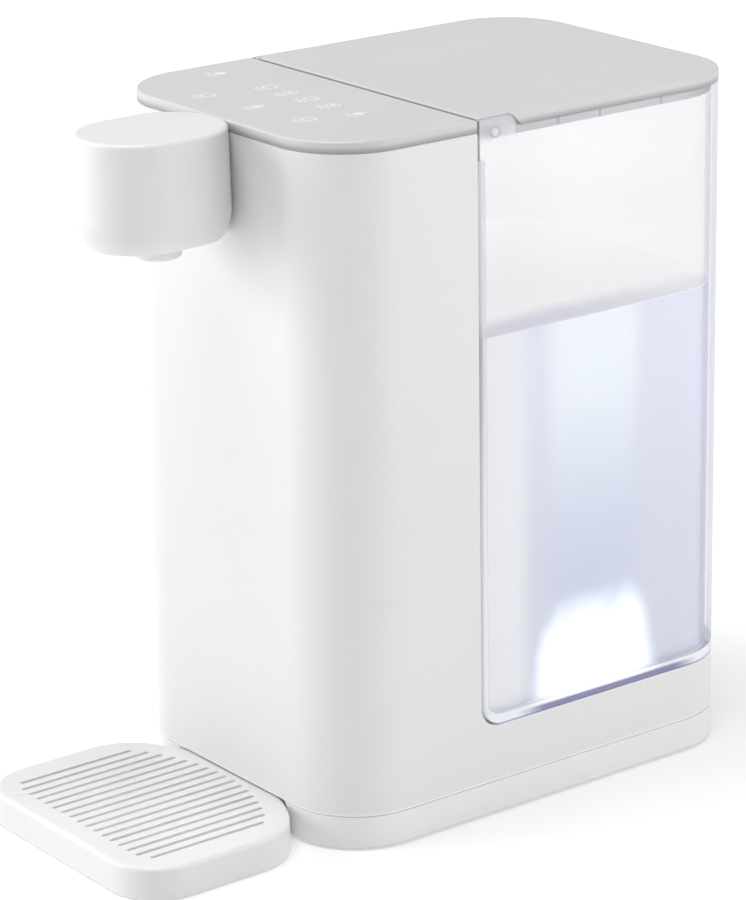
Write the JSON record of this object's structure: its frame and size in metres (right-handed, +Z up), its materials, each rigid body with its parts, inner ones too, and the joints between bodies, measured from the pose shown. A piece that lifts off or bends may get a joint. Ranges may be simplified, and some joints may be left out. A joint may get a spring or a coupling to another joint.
{
  "type": "instant hot water dispenser",
  "caption": "Countertop instant hot water dispenser: rounded white column with spout and touch panel, clear lift-off tank with hinged lid behind, slotted drip tray in front.",
  "frame": {"origin": "on the table, in the middle of the whole footprint, drip tray included", "axes": "+Z up, -Y towards the spout and the user, +X to the side on the user's right"},
  "size_m": [0.16, 0.318, 0.31],
  "materials": {
    "white_shell": "satin moulded",
    "inner_white": "moulded",
    "grey_panel": "satin",
    "clear_tank": "clear polished",
    "clear_liner": "clear",
    "lamp_lens": "frosted",
    "rubber": "matte",
    "seal": "matte",
    "steel": "bright",
    "heater_metal": "drawn",
    "motor": "matte",
    "board": "solder mask",
    "hose": "silicone"
  },
  "bodies": {
    "root": {"main_housing": "white_shell", "base_pan": "white_shell", "tank_cradle": "white_shell", "spout_head": "white_shell", "spout_floor": "white_shell", "nozzle": "white_shell", "spout_neck": "inner_white", "spout_nut": "inner_white", "dock_seat": "inner_white", "dock_pin": "inner_white", "top_panel": "grey_panel", "tank_lamp": "lamp_lens", "feet": "rubber", "cord_gland": "rubber", "pump_mount": "rubber", "dock_seal": "seal", "base_screws": "steel", "outlet_pipe": "steel", "heater_brackets": "steel", "heater": "heater_metal", "pump": "motor", "thermostats": "motor", "touch_board": "board", "power_board": "board", "inlet_hose": "hose", "pump_hose": "hose"},
    "tank": {"tank_shell": "clear_tank", "valve_body": "inner_white", "valve_spring": "steel"},
    "valve": {"valve_plunger": "inner_white", "valve_seal": "seal"},
    "lid": {"lid_panel": "grey_panel", "lid_liner": "clear_liner", "lid_hinge_pins": "clear_liner"},
    "tray": {"drip_cover": "white_shell", "drip_pan": "white_shell"}
  },
  "joints": [
    {"name": "tank_lift", "type": "slide", "parent": "root", "child": "tank", "axis": [0, 0, 1], "range_m": [0, 0.15]},
    {"name": "lid_hinge", "type": "hinge", "parent": "tank", "child": "lid", "pos_m": [0, 0.0177, 0.3039], "axis": [1, 0, 0], "range_deg": [0, 105]},
    {"name": "valve_slide", "type": "slide", "parent": "tank", "child": "valve", "axis": [0, 0, 1], "range_m": [-0.0038, 0], "deforming": ["valve_spring"]},
    {"name": "tray_slide", "type": "slide", "parent": "root", "child": "tray", "axis": [0, -1, 0], "range_m": [0, 0.13]}
  ],
  "couplings": [
    {"joint": "valve_slide", "follows": "tank_lift", "ratio": -0.0253}
  ]
}
